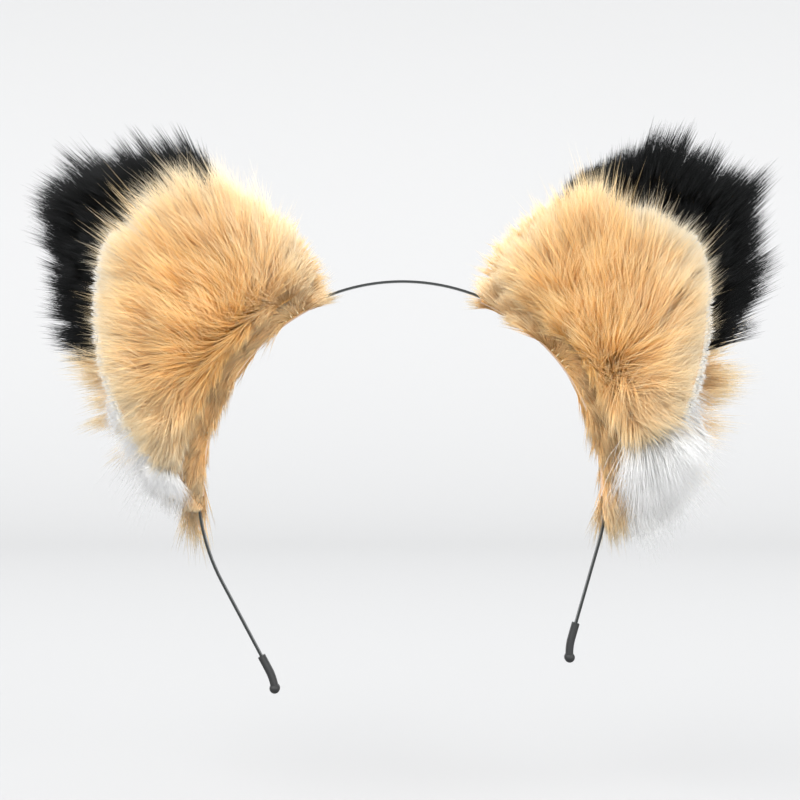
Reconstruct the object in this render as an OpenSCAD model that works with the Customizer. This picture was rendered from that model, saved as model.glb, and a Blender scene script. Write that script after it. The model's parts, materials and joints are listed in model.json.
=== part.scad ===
// Animal ears headband: two furry ears on sewn sleeves that ride on a thin spring steel band.
// +Z is up, the front of the ears looks along -Y, and the origin is the centre of the band's arc.

/* [Band] */
// Radius of the middle of the strip's thickness, over the round part
band_r = 73; // [70:0.5:78]
// Thickness of the steel strip
band_t = 0.8; // [0.6:0.1:1]
// Width of the steel strip, front to back
band_w = 4; // [3:0.5:5]
// How far the round part reaches down each side from the band's middle
arc_end = 112; // [108:1:116]
// Straight length of each leg below the round part, to the steel's end
leg_len = 35; // [30:1:45]
// How far the band is turned under the ears
band_turn = 6; // [0:1:6]
// Half the angle of the crown between the two spring lines
crown_half = 8; // [6:1:10]

/* [Tips] */
// How far each tip bends back outwards from the line of the leg
tip_bend = 20; // [10:1:24]
// Length of the bent part of each tip
tip_curve = 7; // [5:0.5:9]
// Thickness of a tip's neck
tip_t = 2.6; // [2.2:0.1:3]
// Thickness of a tip's bulb
bulb_d = 3.7; // [3.4:0.1:4.5]

/* [Sleeve] */
// Upper end of each sleeve, as an angle from the top
sleeve_from = 23; // [23:1:26]
// Lower end of each sleeve, as an angle from the top
sleeve_to = 93; // [88:1:95]
// Width of the sleeve, front to back
sleeve_w = 9; // [8:0.5:11]
// Thickness of the sleeve's cloth and of the felt under the band
cloth_t = 1.2; // [1:0.1:1.5]
// Thickness of the fur strip on each face of the sleeve
strip_pile = 3.4; // [2:0.2:4]

/* [Ears] */
// Upper end of the ear's foot, as an angle from the top
foot_from = 26; // [24:1:30]
// Lower end of the ear's foot, as an angle from the top
foot_to = 88; // [80:1:90]
// Largest half depth of the hollow between the two walls
hollow = 13; // [8:1:15]
// Thickness of the short white lining
lining_t = 2.4; // [1.5:0.1:3]
// Thickness of the felt stiffener
felt_t = 1.4; // [1:0.1:1.6]
// Thickness of the combed fur over the middle of a wall
pile_t = 9; // [6:0.5:12]
// Diameter of the shaping wire
wire_d = 1.2; // [0.8:0.1:1.4]

/* [Hidden] */
SIDES = ["left", "right"];
EAR_PARTS = ["front_fur", "back_fur", "black_tip_fur", "front_lining", "back_lining",
    "front_stiffener", "back_stiffener", "inner_fluff", "shaping_wire", "seam_stitches",
    "rim_stitches", "foot_tape", "band_sleeve", "felt_pad", "base_fur_strip", "sleeve_stitches"];

// Colours
steel_black = [0.06, 0.07, 0.07];
rubber_black = [0.05, 0.05, 0.05];
fur_orange = [0.93, 0.72, 0.45];
fur_black = [0.05, 0.05, 0.06];
fur_white = [0.95, 0.94, 0.92];
felt_tan = [0.80, 0.62, 0.42];
felt_white = [0.88, 0.87, 0.84];
wire_grey = [0.75, 0.75, 0.78];
thread_cream = [0.95, 0.88, 0.74];

// Clearances and radii along the band
slide_gap = 0.2;
layer_gap = 0.3;
pad_r = band_r - band_t / 2 - slide_gap - cloth_t;
tunnel_r = band_r + band_t / 2 + slide_gap;
sleeve_r = tunnel_r + cloth_t;
tape_r = sleeve_r + 0.35;
foot_r = sleeve_r + 1.8;
tape_top_r = foot_r + 3;
steel_in_tip = 5;

// Outlines in the X-Z plane for the right ear: two foot angles, the medial corner, the tip corner,
// then the pulls that bow the top, the medial edge and the rim (low and high)
wall_edges = [[foot_from, foot_to], [64, 99], [105, 86], [86, 97], [39, 88], [94, 14], [114, 44]];
front_edges = [[foot_from - 4, foot_to + 3], [65, 109], [107, 91], [86, 104], [36, 100], [93, 12], [119, 45]];
back_edges = [[foot_from - 4, foot_to + 3], [66, 112], [126, 106], [103, 142], [38, 102], [112, -4], [137, 46]];

foot_centre = polar(foot_r, (foot_from + foot_to) / 2);

// The grid that every soft wall is drawn on
cells_across = 9;
cells_up = 8;

function polar(r, a) = [r * sin(a), r * cos(a)];
function mix(a, b, k) = a + (b - a) * k;
function ease(k) = k * k * (3 - 2 * k);
function clamp01(k) = min(1, max(0, k));
function bend2(a, b, c, k) = mix(mix(a, b, k), mix(b, c, k), k);
function bend3(a, b, c, d, k) = mix(bend2(a, b, c, k), bend2(b, c, d, k), k);

// The patch inside an outline: s runs from the middle of the head outwards, t from the foot upwards
function foot_edge(e, s) = polar(foot_r, mix(e[0][0], e[0][1], s));
function top_edge(e, s) = bend2(e[1], e[3], e[2], s);
function medial_edge(e, t) = bend2(foot_edge(e, 0), e[4], e[1], t);
function rim_edge(e, t) = bend3(foot_edge(e, 1), e[5], e[6], e[2], t);
function patch(e, s, t) =
    mix(foot_edge(e, s), top_edge(e, s), t) + mix(medial_edge(e, t), rim_edge(e, t), s)
    - mix(mix(foot_edge(e, 0), foot_edge(e, 1), s), mix(e[1], e[2], s), t);
function wall(s, t) = patch(wall_edges, s, t);

// Half the depth of the hollow: shut along the medial and top seams, open at the rim
function swell(t) = 0.42 * (1 - t) + 0.62 * sin(180 * pow(t, 0.75));
function half_hollow(s, t) = 0.6 + hollow * sin(90 * s) * max(0, swell(t));

// How far the combed fur stands off a wall
function pile(s, t) = mix(3, pile_t, sin(180 * s) * sin(180 * clamp01(0.12 + 0.82 * t)));

// Where the black tip begins on the back wall
function tip_line(s) = mix(0.95, 0.66, s) - 0.2 * sin(180 * s);

// A point at depth y. Near the foot it is raised with its depth, so that the ear can tilt
tilt_room = 0.32;
function lift(p, y, t = 1) = let (rise = tilt_room * max(0, abs(y) - 1) * pow(1 - clamp01(t), 3),
    q = p * (1 + rise / norm(p))) [q[0], y, q[1]];

// A closed slab between two grids of points, each a list of columns
module slab(inner, outer) {
    n = len(inner) - 1;
    m = len(inner[0]) - 1;
    flat_in = [for (column = inner) for (p = column) p];
    flat_out = [for (column = outer) for (p = column) p];
    far = len(flat_in);
    function at(i, j) = i * (m + 1) + j;
    faces = concat(
        [for (i = [0:n - 1]) for (j = [0:m - 1]) let (a = at(i, j), b = at(i + 1, j), c = at(i + 1, j + 1),
            d = at(i, j + 1)) each [[far + a, far + b, far + c], [far + a, far + c, far + d],
            [a, c, b], [a, d, c]]],
        [for (i = [0:n - 1]) let (a = at(i, 0), b = at(i + 1, 0), c = at(i + 1, m), d = at(i, m))
            each [[far + b, far + a, a], [far + b, a, b], [far + d, far + c, c], [far + d, c, d]]],
        [for (j = [0:m - 1]) let (a = at(0, j), b = at(n, j), c = at(n, j + 1), d = at(0, j + 1))
            each [[far + c, far + b, b], [far + c, b, c], [far + a, far + d, d], [far + a, d, a]]]);
    polyhedron(concat(flat_in, flat_out), faces);
}

// A layer of the back wall between two depths, set in from the wall's edges by whole cells
module layer(inset, from_y, thick) {
    function grid(off) = [for (i = [inset:cells_across - inset]) let (s = i / cells_across)
        [for (j = [0:cells_up - inset]) let (t = j / cells_up)
            lift(wall(s, t), half_hollow(s, t) + off, t)]];
    slab(grid(from_y), grid(from_y + thick));
}

// The nap of a wall: its inner grid lies on the wall, its outer grid reaches out to its own outline
module nap(edges, t_low, t_high) {
    function grid(out) = [for (i = [0:cells_across]) let (s = i / cells_across)
        [for (j = [0:cells_up]) let (t = mix(t_low[i], t_high[i], j / cells_up))
            lift(out ? patch(edges, s, t) : wall(s, t),
                half_hollow(s, t) + fur_y + (out ? pile(s, t) : 0), t)]];
    slab(grid(false), grid(true));
}

fur_y = lining_t + felt_t + 2 * layer_gap;
foot_line = [for (i = [0:cells_across]) 0];
top_line = [for (i = [0:cells_across]) 1];
black_line = [for (i = [0:cells_across]) tip_line(i / cells_across)];
black_gap = 0.012;

module to_side(side) {
    if (side == "left") mirror([1, 0, 0]) children();
    else children();
}

module to_front() {
    mirror([0, 1, 0]) children();
}

// A strip bent round the origin's Y axis, between two angles from the top
module arc_strip(r_in, r_out, y0, y1, a0, a1) {
    rotate([90, 0, 0]) rotate([0, 0, 90 - a1]) rotate_extrude(angle = a1 - a0, $fn = 180)
        translate([r_in, -y1]) square([r_out - r_in, y1 - y0]);
}

module front_fur(side) {
    color(fur_orange) to_side(side) to_front() nap(front_edges, foot_line, top_line);
}

module back_fur(side) {
    color(fur_orange) to_side(side) nap(back_edges, foot_line, [for (t = black_line) t - black_gap]);
}

module black_tip_fur(side) {
    color(fur_black) to_side(side) nap(back_edges, black_line, top_line);
}

module lining(side) {
    color(fur_white) to_side(side) layer(0, 0, lining_t);
}

module stiffener(side) {
    color(felt_white) to_side(side) layer(1, lining_t + layer_gap, felt_t);
}

// Long white hair that stands out of the lower end of the hollow
fluff_root = 0.72;
fluff_ends = [[80, -19], [102, -24], [120, 4], [112, 33]];
function fluff_thick(q, t) = mix(1, mix(3.2, 5.5, q), sin(180 * clamp01(0.1 + 0.75 * q)));
function fluff_place(q, t) = mix(wall(fluff_root, 0.07 + 0.5 * t),
    bend3(fluff_ends[0], fluff_ends[1], fluff_ends[2], fluff_ends[3], t), q);
module inner_fluff(side) {
    function grid(sign) = [for (i = [0:cells_across]) let (q = i / cells_across)
        [for (j = [0:cells_up]) let (t = j / cells_up)
            lift(fluff_place(q, t), sign * fluff_thick(q, t))]];
    color(fur_white) to_side(side) slab(grid(-1), grid(1));
}

// The wire lies in the back wall's seam allowance, up the medial side, over the top and down the rim
wire_inset = 0.05;
wire_steps = 10;
wire_path = concat(
    [for (i = [0:wire_steps]) [wire_inset, mix(0.04, 0.9, i / wire_steps)]],
    [for (i = [1:wire_steps - 1]) let (a = 90 * i / wire_steps) [mix(wire_inset, 0.12, 1 - cos(a)),
        mix(0.9, 1 - wire_inset, sin(a))]],
    [for (i = [0:wire_steps]) [mix(0.12, 0.88, i / wire_steps), 1 - wire_inset]],
    [for (i = [1:wire_steps - 1]) let (a = 90 * i / wire_steps) [mix(0.88, 1 - wire_inset, sin(a)),
        mix(1 - wire_inset, 0.9, 1 - cos(a))]],
    [for (i = [0:wire_steps]) [1 - wire_inset, mix(0.9, 0.04, i / wire_steps)]]);
module tube(path, r, sides) {
    last = len(path) - 1;
    function ring(i) = let (ahead = path[min(last, i + 1)] - path[max(0, i - 1)],
        along = ahead / norm(ahead), out = cross(along, [0, 1, 0]), across = out / norm(out),
        up = cross(across, along))
        [for (k = [0:sides - 1]) path[i] + r * (cos(360 * k / sides) * across + sin(360 * k / sides) * up)];
    points = [for (i = [0:last]) each ring(i)];
    walls = [for (i = [0:last - 1]) for (k = [0:sides - 1]) let (a = i * sides + k,
        b = i * sides + (k + 1) % sides, c = b + sides, d = a + sides) each [[a, b, c], [a, c, d]]];
    polyhedron(points, concat(walls, [[for (k = [sides - 1:-1:0]) k]],
        [[for (k = [0:sides - 1]) last * sides + k]]));
}
module shaping_wire(side) {
    line = [for (st = wire_path) lift(wall(st[0], st[1]), half_hollow(st[0], st[1])
        + (lining_t + fur_y) / 2, st[1])];
    color(wire_grey) to_side(side) tube(line, wire_d / 2, 8);
}

// Short threads that cross a seam from front to back, just outside the wall's edge
thread_r = 0.3;
function outside(s, t) = foot_centre + (wall(s, t) - foot_centre) * 1.015;
module thread_at(p, y0, y1, t = 1) {
    translate(lift(p, y0, t)) rotate([-90, 0, 0]) cylinder(r = thread_r, h = y1 - y0, $fn = 16);
}

module seam_stitches(side) {
    reach = lining_t + 1.2;
    color(thread_cream) to_side(side) {
        for (k = [0:9]) thread_at(outside(0, 0.14 + 0.08 * k), -reach, reach);
        for (k = [0:8]) thread_at(outside(0.06 + 0.1 * k, 1), -reach, reach);
    }
}

module rim_stitches(side) {
    color(thread_cream) to_side(side) for (k = [0:13]) {
        t = 0.1 + 0.06 * k;
        depth = half_hollow(1, t);
        to_front() thread_at(outside(1, t), depth + 0.5, depth + fur_y - 1, t);
        thread_at(outside(1, t), depth + 0.5, depth + fur_y - 1, t);
    }
}

module foot_tape(side) {
    color(felt_tan) to_side(side)
        arc_strip(tape_r, tape_top_r, -0.4, 0.4, foot_from + 2, foot_to - 20);
}

// The sleeve is a cloth channel over the band, closed underneath by the felt pad
module band_sleeve(side) {
    half = sleeve_w / 2;
    wall_in = band_w / 2 + slide_gap + 0.1;
    color(felt_tan) to_side(side) {
        arc_strip(tunnel_r, sleeve_r, -half, half, sleeve_from, sleeve_to);
        for (y = [-half, wall_in])
            arc_strip(pad_r + cloth_t, tunnel_r, y, y + half - wall_in, sleeve_from, sleeve_to);
    }
}

module felt_pad(side) {
    color(felt_tan) to_side(side)
        arc_strip(pad_r, pad_r + cloth_t, -sleeve_w / 2, sleeve_w / 2, sleeve_from, sleeve_to);
}

module base_fur_strip(side) {
    near = sleeve_w / 2 + 3 * thread_r;
    color(fur_orange) to_side(side) for (y = [-near - strip_pile, near])
        arc_strip(tunnel_r - 1.2, sleeve_r + 0.4, y, y + strip_pile, sleeve_from - 1, sleeve_to + 3);
}

module sleeve_stitches(side) {
    stitch_step = 4;
    stitch_len = sleeve_r - pad_r - 0.8;
    color(thread_cream) to_side(side) for (a = [sleeve_from + 2:stitch_step:sleeve_to - 2])
        for (y = [-1, 1]) rotate([0, a, 0])
            translate([0, y * (sleeve_w / 2 + thread_r + 0.1), pad_r + 0.4])
                cylinder(r = thread_r, h = stitch_len, $fn = 16);
}

module band_crown() {
    color(steel_black) arc_strip(band_r - band_t / 2, band_r + band_t / 2, -band_w / 2, band_w / 2,
        -crown_half - band_turn, crown_half - band_turn);
}

// Below the round part the leg runs straight on from it, into its tip
function leg_start(side) = arc_end + (side == "left" ? band_turn : -band_turn);
module along_leg(side) {
    to_side(side) rotate([0, leg_start(side), 0]) translate([0, 0, band_r]) rotate([0, 90, 0]) children();
}

module band_arm(side) {
    from = crown_half + (side == "left" ? band_turn : -band_turn);
    color(steel_black) {
        to_side(side) arc_strip(band_r - band_t / 2, band_r + band_t / 2, -band_w / 2, band_w / 2,
            from, leg_start(side));
        along_leg(side) translate([-band_t / 2, -band_w / 2, 0]) cube([band_t, band_w, leg_len]);
    }
}

// A flat rounded neck, straight over the steel and then bent back outwards, that ends in a bulb
neck_half = band_w / 2 + 0.7 - tip_t / 2;
module neck_section() {
    square([tip_t, 2 * neck_half], center = true);
    for (y = [-neck_half, neck_half]) translate([0, y]) circle(d = tip_t, $fn = 48);
}
module end_tip(side) {
    bend_r = tip_curve * 180 / (PI * tip_bend);
    bulb_half = neck_half + (tip_t - bulb_d) / 2 + 0.3;
    color(rubber_black) along_leg(side) translate([0, 0, leg_len - steel_in_tip]) difference() {
        union() {
            linear_extrude(steel_in_tip + 0.5) neck_section();
            translate([-bend_r, 0, steel_in_tip + 0.5]) {
                rotate([90, 0, 0]) rotate_extrude(angle = tip_bend, $fn = 96) translate([bend_r, 0])
                    neck_section();
                rotate([0, -tip_bend, 0]) translate([bend_r, 0, 0]) {
                    rotate([90, 0, 0]) cylinder(d = bulb_d, h = 2 * bulb_half, center = true, $fn = 48);
                    for (y = [-bulb_half, bulb_half]) translate([0, y, 0]) sphere(d = bulb_d, $fn = 48);
                }
            }
        }
        translate([-band_t / 2, -band_w / 2, -1]) cube([band_t, band_w, steel_in_tip + 1]);
    }
}

module ear_part(part, side) {
    if (part == "front_fur") front_fur(side);
    if (part == "back_fur") back_fur(side);
    if (part == "black_tip_fur") black_tip_fur(side);
    if (part == "front_lining") to_front() lining(side);
    if (part == "back_lining") lining(side);
    if (part == "front_stiffener") to_front() stiffener(side);
    if (part == "back_stiffener") stiffener(side);
    if (part == "inner_fluff") inner_fluff(side);
    if (part == "shaping_wire") shaping_wire(side);
    if (part == "seam_stitches") seam_stitches(side);
    if (part == "rim_stitches") rim_stitches(side);
    if (part == "foot_tape") foot_tape(side);
    if (part == "band_sleeve") band_sleeve(side);
    if (part == "felt_pad") felt_pad(side);
    if (part == "base_fur_strip") base_fur_strip(side);
    if (part == "sleeve_stitches") sleeve_stitches(side);
}

band_crown();
for (side = SIDES) {
    band_arm(side);
    end_tip(side);
    for (part = EAR_PARTS) ear_part(part, side);
}
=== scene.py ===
# %% [markdown]
# # Animal ears headband
# A thin sprung band of enamelled steel carries two furry ears. Each ear is a pocket of two sewn walls:
# long orange pile in front, orange with a black tip behind, white plush inside, and long white hair
# that spills out of its lower end. The ears are sewn to sleeves that slide along the band.
# The steel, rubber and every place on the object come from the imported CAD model, which is the fixed
# frame. Here the soft solids are given cloth, thread and hair.

# %% Load the fixed frame
import json
import math

import bmesh
import bpy
import numpy as np
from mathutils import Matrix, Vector


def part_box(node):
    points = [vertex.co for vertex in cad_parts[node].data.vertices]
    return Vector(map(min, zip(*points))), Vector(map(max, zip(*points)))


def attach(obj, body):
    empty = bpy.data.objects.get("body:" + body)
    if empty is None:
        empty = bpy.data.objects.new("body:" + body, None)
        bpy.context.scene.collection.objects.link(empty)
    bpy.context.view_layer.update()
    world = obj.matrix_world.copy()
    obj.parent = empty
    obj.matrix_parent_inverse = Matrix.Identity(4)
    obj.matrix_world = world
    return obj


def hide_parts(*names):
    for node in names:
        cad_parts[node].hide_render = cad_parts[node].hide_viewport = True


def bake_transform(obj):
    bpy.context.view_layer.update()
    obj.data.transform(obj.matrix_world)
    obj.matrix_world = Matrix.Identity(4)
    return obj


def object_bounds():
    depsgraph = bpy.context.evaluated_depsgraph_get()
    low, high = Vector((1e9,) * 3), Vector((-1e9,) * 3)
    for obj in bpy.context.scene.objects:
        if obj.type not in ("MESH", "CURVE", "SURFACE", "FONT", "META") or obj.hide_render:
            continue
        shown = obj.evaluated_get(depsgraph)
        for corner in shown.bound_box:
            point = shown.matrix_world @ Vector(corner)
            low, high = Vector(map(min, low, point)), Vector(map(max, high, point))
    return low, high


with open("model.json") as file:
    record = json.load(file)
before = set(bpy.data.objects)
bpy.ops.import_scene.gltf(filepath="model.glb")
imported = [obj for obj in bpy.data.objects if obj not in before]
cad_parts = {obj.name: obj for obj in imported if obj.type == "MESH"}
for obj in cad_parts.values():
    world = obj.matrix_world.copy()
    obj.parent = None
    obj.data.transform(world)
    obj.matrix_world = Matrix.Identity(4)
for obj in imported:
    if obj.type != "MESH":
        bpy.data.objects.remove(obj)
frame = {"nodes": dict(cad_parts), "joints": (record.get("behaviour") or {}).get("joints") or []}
cad_box = [list(corner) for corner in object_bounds()]
nodes = frame["nodes"]
scene = bpy.context.scene
MM = 0.001
SIDES = {"left": -1.0, "right": 1.0}
FLIP = {side: np.array([sign, 1, 1]) for side, sign in SIDES.items()}
print("CAD box in mm:", [[round(v / MM, 1) for v in corner] for corner in cad_box])

# %% [markdown]
# ## Colours, nodes and trees
# Colours are written as sRGB hex values, as a swatch book gives them. Shaders work in linear light, so
# one function converts them all. Another adds a node of any kind, and two more start a material and a
# Geometry Nodes tree, so that the steps below hold only what is special to each piece.

# %% Colours and nodes
def linear(hex_colour):
    """An sRGB hex colour as linear RGBA."""
    parts = [int(hex_colour[i:i + 2], 16) / 255 for i in (1, 3, 5)]
    return [c / 12.92 if c <= 0.04045 else ((c + 0.055) / 1.055) ** 2.4 for c in parts] + [1.0]


def add(tree, kind, settings=None, inputs=None):
    """Adds one node, with its settings and with values or links for its inputs, and returns it."""
    node = tree.nodes.new(kind)
    for name, value in (settings or {}).items():
        setattr(node, name, value)
    for key, value in (inputs or {}).items():
        if isinstance(value, bpy.types.NodeSocket):
            tree.links.new(value, node.inputs[key])
        else:
            node.inputs[key].default_value = value
    return node


# %% Start a material or a tree
def new_material(name):
    """A new material, its tree and its main shader."""
    material = bpy.data.materials.new(name)
    material.use_nodes = True
    return material, material.node_tree, material.node_tree.nodes["Principled BSDF"]


def new_tree(name, sockets):
    """A new Geometry Nodes tree with those inputs after its geometry, and the sockets they come from."""
    tree = bpy.data.node_groups.new(name, "GeometryNodeTree")
    for socket, kind in {"Geometry": "Geometry", **sockets}.items():
        tree.interface.new_socket(socket, in_out="INPUT", socket_type=f"NodeSocket{kind}")
    tree.interface.new_socket("Geometry", in_out="OUTPUT", socket_type="NodeSocketGeometry")
    return tree, add(tree, "NodeGroupInput").outputs


def identifiers(tree):
    """The identifier of each input, by which a modifier's value is set."""
    return {item.name: item.identifier for item in tree.interface.items_tree if item.in_out == "INPUT"}


# %% [markdown]
# ## Studio
# The object is lit as small products often are: a white sweep behind, big soft lights, and a light
# from behind that makes the edge of the fur glow. A long lens keeps the two ears the same size.

# %% Camera
LENS, DISTANCE = 100.0, 0.794
camera = bpy.data.objects.new("camera", bpy.data.cameras.new("camera"))
scene.collection.objects.link(camera)
camera.data.lens = LENS
camera.location = (-0.0009, -DISTANCE, 0.0307)
camera.rotation_euler = (math.radians(90), 0, 0)
scene.camera = camera
scene.view_settings.view_transform = "Standard"
print(f"camera: {LENS:.0f} mm lens, {DISTANCE} m in front of the band")

# %% Floor and sweep
FLOOR_Z, SWEEP_R, WALL_Y, STAGE_HALF = cad_box[0][2] - 0.045, 0.9, 2.4, 6.0
profile = [(-8.0, FLOOR_Z), (WALL_Y - SWEEP_R, FLOOR_Z)]
SWEEP_STEPS = 12
for step in range(1, SWEEP_STEPS + 1):
    turn = math.radians(90 * step / SWEEP_STEPS)
    profile.append((WALL_Y - SWEEP_R + SWEEP_R * math.sin(turn), FLOOR_Z + SWEEP_R * (1 - math.cos(turn))))
profile.append((WALL_Y, 1.6))
sweep_mesh = bpy.data.meshes.new("studio_sweep")
points = [(x, y, z) for y, z in profile for x in (-STAGE_HALF, STAGE_HALF)]
quads = [(2 * i, 2 * i + 1, 2 * i + 3, 2 * i + 2) for i in range(len(profile) - 1)]
sweep_mesh.from_pydata(points, [], quads)
for polygon in sweep_mesh.polygons:
    polygon.use_smooth = True
sweep = bpy.data.objects.new("studio_sweep", sweep_mesh)
scene.collection.objects.link(sweep)
paper, _, paper_shader = new_material("matte background paper")
for key, value in {"Base Color": linear("#9C9C9C"), "Roughness": 0.9, "Specular IOR Level": 0.1}.items():
    paper_shader.inputs[key].default_value = value
sweep_mesh.materials.append(paper)
print("sweep:", len(quads), "faces, floor at", round(FLOOR_Z / MM), "mm")

# %% Lights
world = bpy.data.worlds.new("studio air")
scene.world = world
world.use_nodes = True
world.node_tree.nodes["Background"].inputs["Color"].default_value = linear("#F7F8FA")
world.node_tree.nodes["Background"].inputs["Strength"].default_value = 1.9
SUNS = {"key_light": (-35, 35, 2.7), "fill_light": (40, 15, 2.0), "back_light": (180, 50, 1.5)}
SUN_SPREAD = math.radians(50)
for name, (azimuth, elevation, strength) in SUNS.items():
    lamp = bpy.data.objects.new(name, bpy.data.lights.new(name, "SUN"))
    scene.collection.objects.link(lamp)
    lamp.rotation_euler = (math.radians(90 - elevation), 0, math.radians(azimuth))
    lamp.data.energy, lamp.data.angle = strength, SUN_SPREAD
print("lights:", ", ".join(SUNS), "and the air")

# %% [markdown]
# ## Materials
# Each material starts from the real thing. Pile fabric is acrylic fibre: a little glossy along its
# length, with light passing through it, so it is a Principled shader mixed with a Translucent one. Its
# colour runs from a deep root to a pale tip, and every fibre differs a little. Towards the tip each coat
# also mixes in a paler colour. Along the closed seams and at the strip's medial end, that paler colour is
# painted glow and painted light against shade.

# %% Acrylic pile fibre
def fibre_material(name, root, middle, tip, pale, roughness, glow, spread):
    """Root, middle and tip are colours along a fibre. Pale is mixed in where a coat is made paler: near the
    rims, and along the seams and on the strip, where it is painted glow and painted light against shade.
    """
    material, tree, shader = new_material(name)
    along, shade, tone = (add(tree, "ShaderNodeAttribute", {"attribute_name": name})
                          for name in ("along", "shade", "tone"))
    run = add(tree, "ShaderNodeValToRGB", None, {"Fac": along.outputs["Fac"]})
    ramp = run.color_ramp
    ramp.elements[0].color, ramp.elements[1].color = linear(root), linear(tip)
    ramp.elements.new(0.5).color = linear(middle)
    # Paler towards the tip by each coat's share, which is partly painted glow of the light behind and painted
    # light against shade
    paling_toward_tip = add(tree, "ShaderNodeMapRange", None, {"Value": along.outputs["Fac"], "To Min": 0.4})
    light = add(tree, "ShaderNodeMath", {"operation": "MULTIPLY"},
                {0: paling_toward_tip.outputs["Result"], 1: tone.outputs["Fac"]})
    pale_and_painted_glow = add(tree, "ShaderNodeMix", {"data_type": "RGBA"},
                   {"Factor": light.outputs[0], 6: run.outputs["Color"], 7: linear(pale)})
    vary = add(tree, "ShaderNodeMapRange", None,
               {"Value": shade.outputs["Fac"], "To Min": 1 - spread, "To Max": 1 + spread})
    colour = add(tree, "ShaderNodeMix", {"data_type": "RGBA", "blend_type": "MULTIPLY"},
                 {"Factor": 1.0, 6: pale_and_painted_glow.outputs[2], 7: vary.outputs["Result"]})
    tree.links.new(colour.outputs[2], shader.inputs["Base Color"])
    shader.inputs["Roughness"].default_value = roughness
    shader.inputs["Specular IOR Level"].default_value = 0.2
    through = add(tree, "ShaderNodeBsdfTranslucent", None, {"Color": colour.outputs[2]})
    both = add(tree, "ShaderNodeMixShader", None,
               {"Fac": glow, 1: shader.outputs[0], 2: through.outputs[0]})
    tree.links.new(both.outputs[0], tree.nodes["Material Output"].inputs["Surface"])
    return material


orange_fibre = fibre_material("dyed acrylic pile, orange", "#ECBD66", "#FAD892", "#FEEBC2", "#F8F2E3",
                              0.55, 0.55, 0.12)
# The black fibre's lighter grey-green tip colour is a painted highlight
black_fibre = fibre_material("dyed acrylic pile, black", "#020303", "#040505", "#0A0D0E", "#101516",
                             0.5, 0.1, 0.5)
white_fibre = fibre_material("acrylic pile, white", "#F6F5F2", "#FBFBF9", "#FDFDFC", "#FFFFFF",
                             0.7, 0.75, 0.03)
print("fibres:", orange_fibre.name, "|", black_fibre.name, "|", white_fibre.name)

# %% [markdown]
# The cloths have a thread structure. Knitted backing has loops about 0.6 mm apart, felt is a mat of
# short fibres, so noise at a few tenths of a millimetre, and spun thread has plies that wind round it.

# %% Backing, felt and thread
def cloth_material(name, dark, light, pitch_mm, woven, roughness, bump, sheen):
    """A woven or matted cloth whose pattern repeats every pitch_mm millimetres."""
    material, tree, shader = new_material(name)
    place = add(tree, "ShaderNodeTexCoord")
    mat = add(tree, "ShaderNodeTexNoise", None,
              {"Vector": place.outputs["Object"], "Scale": 0.5 / (pitch_mm * MM), "Detail": 4.0})
    height = mat.outputs["Fac"]
    if woven:
        loops = add(tree, "ShaderNodeTexVoronoi", {"feature": "SMOOTH_F1"},
                    {"Vector": place.outputs["Object"], "Scale": 1 / (pitch_mm * MM), "Randomness": 0.25})
        mixed = add(tree, "ShaderNodeMath", {"operation": "MULTIPLY"},
                    {0: loops.outputs["Distance"], 1: mat.outputs["Fac"]})
        height = mixed.outputs[0]
    tint = add(tree, "ShaderNodeMix", {"data_type": "RGBA"},
               {"Factor": height, 6: linear(dark), 7: linear(light)})
    tree.links.new(tint.outputs[2], shader.inputs["Base Color"])
    rise = add(tree, "ShaderNodeBump", None, {"Height": height, "Strength": bump, "Distance": 0.2 * MM})
    tree.links.new(rise.outputs[0], shader.inputs["Normal"])
    shader.inputs["Roughness"].default_value = roughness
    shader.inputs["Sheen Weight"].default_value = sheen
    return material


orange_backing = cloth_material("knitted backing, tan", "#B98745", "#E3B470", 0.6, True, 0.9, 0.6, 0.3)
black_backing = cloth_material("knitted backing, black", "#040505", "#101314", 0.6, True, 0.9, 0.6, 0.2)
white_plush = cloth_material("short plush, white", "#C9C7C3", "#E9E8E5", 0.5, False, 0.95, 0.8, 0.5)
tan_felt = cloth_material("pressed felt, tan", "#9A6A35", "#CFA064", 0.4, False, 0.95, 0.5, 0.3)
white_felt = cloth_material("pressed felt, off-white", "#BDB7AC", "#E6E2DA", 0.4, False, 0.95, 0.5, 0.3)
cream_thread = cloth_material("spun polyester thread, cream", "#CBB588", "#F2E4C4", 0.25, True, 0.6, 0.4, 0.2)

# %% [markdown]
# The band is spring steel with a coat of black enamel, which is smooth but never quite even. The tips
# are dipped rubber, so they are matt. The wire inside each ear is bare drawn aluminium.

# %% Enamel, rubber and wire
def hard_material(name, dark, light, grain_mm, rough_low, rough_high, metal, bump):
    """A coated, moulded or drawn surface: its colour and gloss both wander with a fine grain."""
    material, tree, shader = new_material(name)
    place = add(tree, "ShaderNodeTexCoord")
    grain = add(tree, "ShaderNodeTexNoise", None,
                {"Vector": place.outputs["Object"], "Scale": 1 / (grain_mm * MM), "Detail": 3.0})
    tint = add(tree, "ShaderNodeMix", {"data_type": "RGBA"},
               {"Factor": grain.outputs["Fac"], 6: linear(dark), 7: linear(light)})
    gloss = add(tree, "ShaderNodeMapRange", None,
                {"Value": grain.outputs["Fac"], "To Min": rough_low, "To Max": rough_high})
    rise = add(tree, "ShaderNodeBump", None,
               {"Height": grain.outputs["Fac"], "Strength": bump, "Distance": 0.05 * MM})
    tree.links.new(tint.outputs[2], shader.inputs["Base Color"])
    tree.links.new(gloss.outputs[0], shader.inputs["Roughness"])
    tree.links.new(rise.outputs[0], shader.inputs["Normal"])
    shader.inputs["Metallic"].default_value = metal
    return material


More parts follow.
